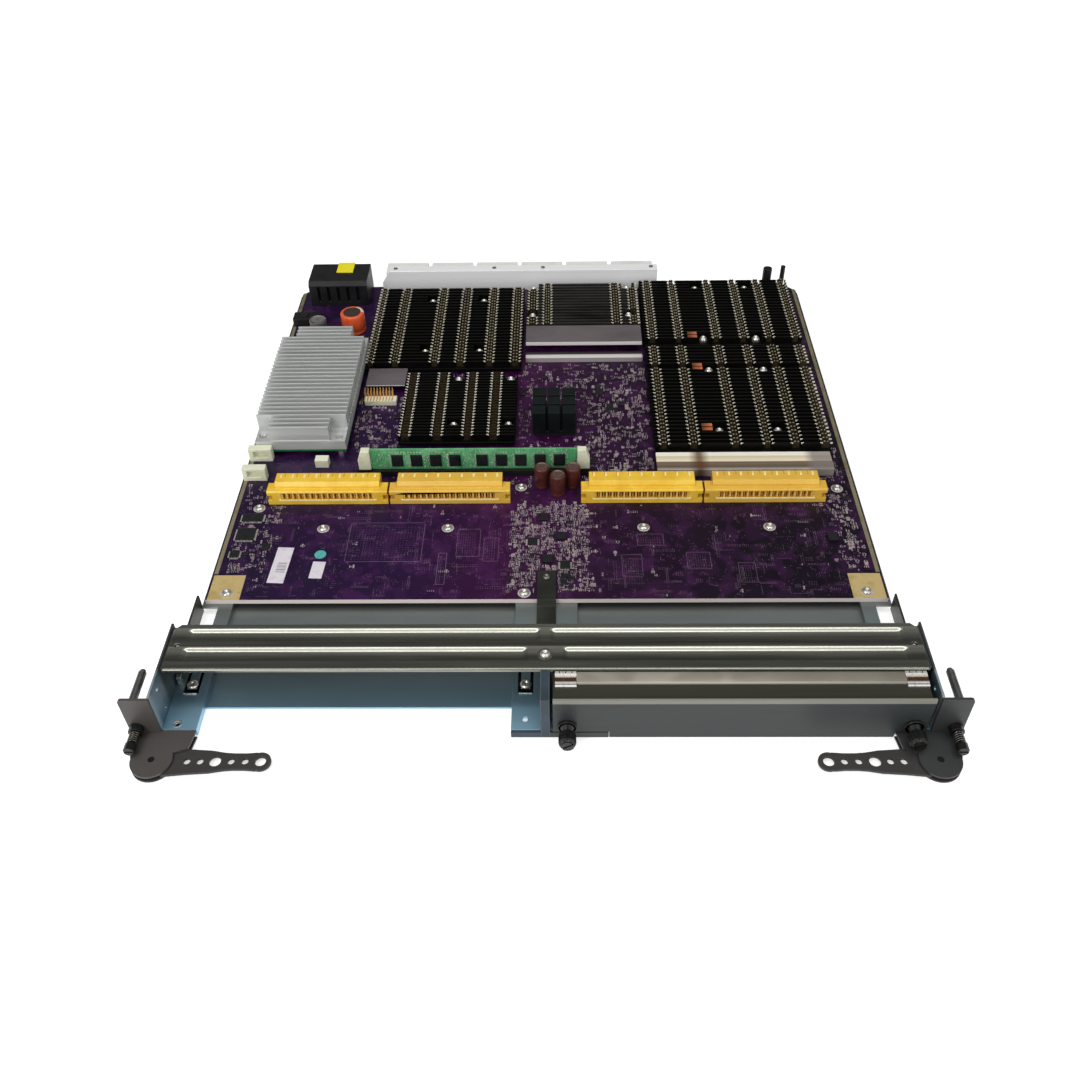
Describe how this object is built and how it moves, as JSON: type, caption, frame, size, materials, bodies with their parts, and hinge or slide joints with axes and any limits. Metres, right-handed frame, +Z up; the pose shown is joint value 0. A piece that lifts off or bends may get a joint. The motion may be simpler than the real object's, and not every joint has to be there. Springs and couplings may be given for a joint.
{
  "type": "switch line card",
  "caption": "Full-width switch line card in a metal tray with a bay for a port module, a blanked bay, folding levers, finned heatsinks, a memory module and a power converter",
  "frame": {"origin": "middle of the footprint, on the underside of the tray", "axes": "+X right seen from the front, +Y from the faceplate to the backplane edge, +Z up from the tray to the parts side of the board"},
  "size_m": [0.432, 0.4746, 0.0333],
  "materials": {
    "zinc_sheet": "zinc plated, blue tint",
    "dark_paint": "dark grey paint",
    "bar_steel": "galvanised, brushed along its length",
    "black_screw": "black, glossy",
    "spring_steel": "bright wire",
    "pin_steel": "turned steel",
    "screw_steel": "bright zinc",
    "board_purple": "solder mask, semi gloss",
    "yellow_plastic": "moulded",
    "black_plastic": "moulded",
    "green_board": "solder mask",
    "ivory_plastic": "moulded",
    "silver_aluminium": "milled",
    "black_aluminium": "black anodised",
    "copper": "copper, bare",
    "chip_black": "moulded package",
    "grey_plate": "stamped sheet",
    "bright_plate": "stamped sheet, bright",
    "light_aluminium": "milled, clear finish",
    "plain_housing": "moulded",
    "yellow_tag": "blank label",
    "orange_sleeve": "shrink sleeve",
    "grey_sleeve": "shrink sleeve",
    "brown_sleeve": "shrink sleeve",
    "gasket_fabric": "metallised fabric"
  },
  "bodies": {
    "card": {"base_tray": "zinc_sheet", "right_side_wall": "zinc_sheet", "left_side_wall": "zinc_sheet", "right_faceplate_ear": "dark_paint", "left_faceplate_ear": "dark_paint", "pivot_plates": "dark_paint", "lever_pins": "pin_steel", "guide_pins": "pin_steel", "screw_collars": "black_screw", "right_ear_spring": "spring_steel", "left_ear_spring": "spring_steel", "cross_bar": "bar_steel", "centre_divider": "dark_paint", "centre_strap": "dark_paint", "filler_panel": "dark_paint", "filler_gasket": "gasket_fabric", "main_board": "board_purple", "board_standoffs": "screw_steel", "board_screws": "screw_steel", "module_connector_1": "yellow_plastic", "module_connector_2": "yellow_plastic", "module_connector_3": "yellow_plastic", "module_connector_4": "yellow_plastic", "memory_socket": "black_plastic", "memory_module": "green_board", "power_board": "green_board", "power_heatsink": "silver_aluminium", "power_screws": "screw_steel", "left_rear_heatsink": "black_aluminium", "left_front_heatsink": "black_aluminium", "centre_heatsink": "black_aluminium", "right_rear_heatsink": "black_aluminium", "right_front_heatsink": "black_aluminium", "heatsink_screws": "screw_steel", "heat_pipes": "copper", "chip_heatsink": "black_aluminium", "board_chips": "chip_black", "board_shields": "grey_plate", "right_shield": "bright_plate", "back_bar": "light_aluminium", "backplane_connectors": "plain_housing", "power_connector": "black_plastic", "connector_tag": "yellow_tag", "rear_clip": "black_plastic", "rear_guide_posts": "pin_steel", "orange_capacitor": "orange_sleeve", "grey_capacitor": "grey_sleeve", "brown_capacitors": "brown_sleeve", "board_sockets": "ivory_plastic", "chassis_screws": "screw_steel", "wall_rivets": "screw_steel"},
    "left_lever": {"left_lever": "dark_paint"},
    "right_lever": {"right_lever": "dark_paint"},
    "left_ear_screw": {"left_ear_screw": "black_screw"},
    "right_ear_screw": {"right_ear_screw": "black_screw"},
    "left_filler_screw": {"left_filler_screw": "black_screw"},
    "right_filler_screw": {"right_filler_screw": "black_screw"},
    "left_memory_latch": {"left_memory_latch": "ivory_plastic"},
    "right_memory_latch": {"right_memory_latch": "ivory_plastic"}
  },
  "joints": [
    {"name": "left_lever_swing", "type": "hinge", "parent": "card", "child": "left_lever", "pos_m": [-0.2008, -0.2265, 0.0015], "axis": [0, 0, -1], "range_deg": [0, 85]},
    {"name": "left_ear_screw_press", "type": "slide", "parent": "card", "child": "left_ear_screw", "axis": [0, 1, 0], "range_m": [0, 0.0035], "stiffness_N_per_m": 600, "springref_m": -0.002, "deforming": ["left_ear_spring"]},
    {"name": "right_lever_swing", "type": "hinge", "parent": "card", "child": "right_lever", "pos_m": [0.2008, -0.2265, 0.0015], "axis": [0, 0, 1], "range_deg": [0, 85]},
    {"name": "right_ear_screw_press", "type": "slide", "parent": "card", "child": "right_ear_screw", "axis": [0, 1, 0], "range_m": [0, 0.0035], "stiffness_N_per_m": 600, "springref_m": -0.002, "deforming": ["right_ear_spring"]},
    {"name": "left_filler_screw_turn", "type": "hinge", "parent": "card", "child": "left_filler_screw", "pos_m": [0.0124, -0.2113, 0.0102], "axis": [0, 1, 0], "continuous": true},
    {"name": "right_filler_screw_turn", "type": "hinge", "parent": "card", "child": "right_filler_screw", "pos_m": [0.19, -0.2113, 0.0102], "axis": [0, 1, 0], "continuous": true},
    {"name": "left_memory_latch_tilt", "type": "hinge", "parent": "card", "child": "left_memory_latch", "pos_m": [-0.11775, -0.00607, 0.01155], "axis": [0, -1, 0], "range_deg": [0, 35]},
    {"name": "right_memory_latch_tilt", "type": "hinge", "parent": "card", "child": "right_memory_latch", "pos_m": [0.0243, -0.00607, 0.01155], "axis": [0, 1, 0], "range_deg": [0, 35]}
  ]
}
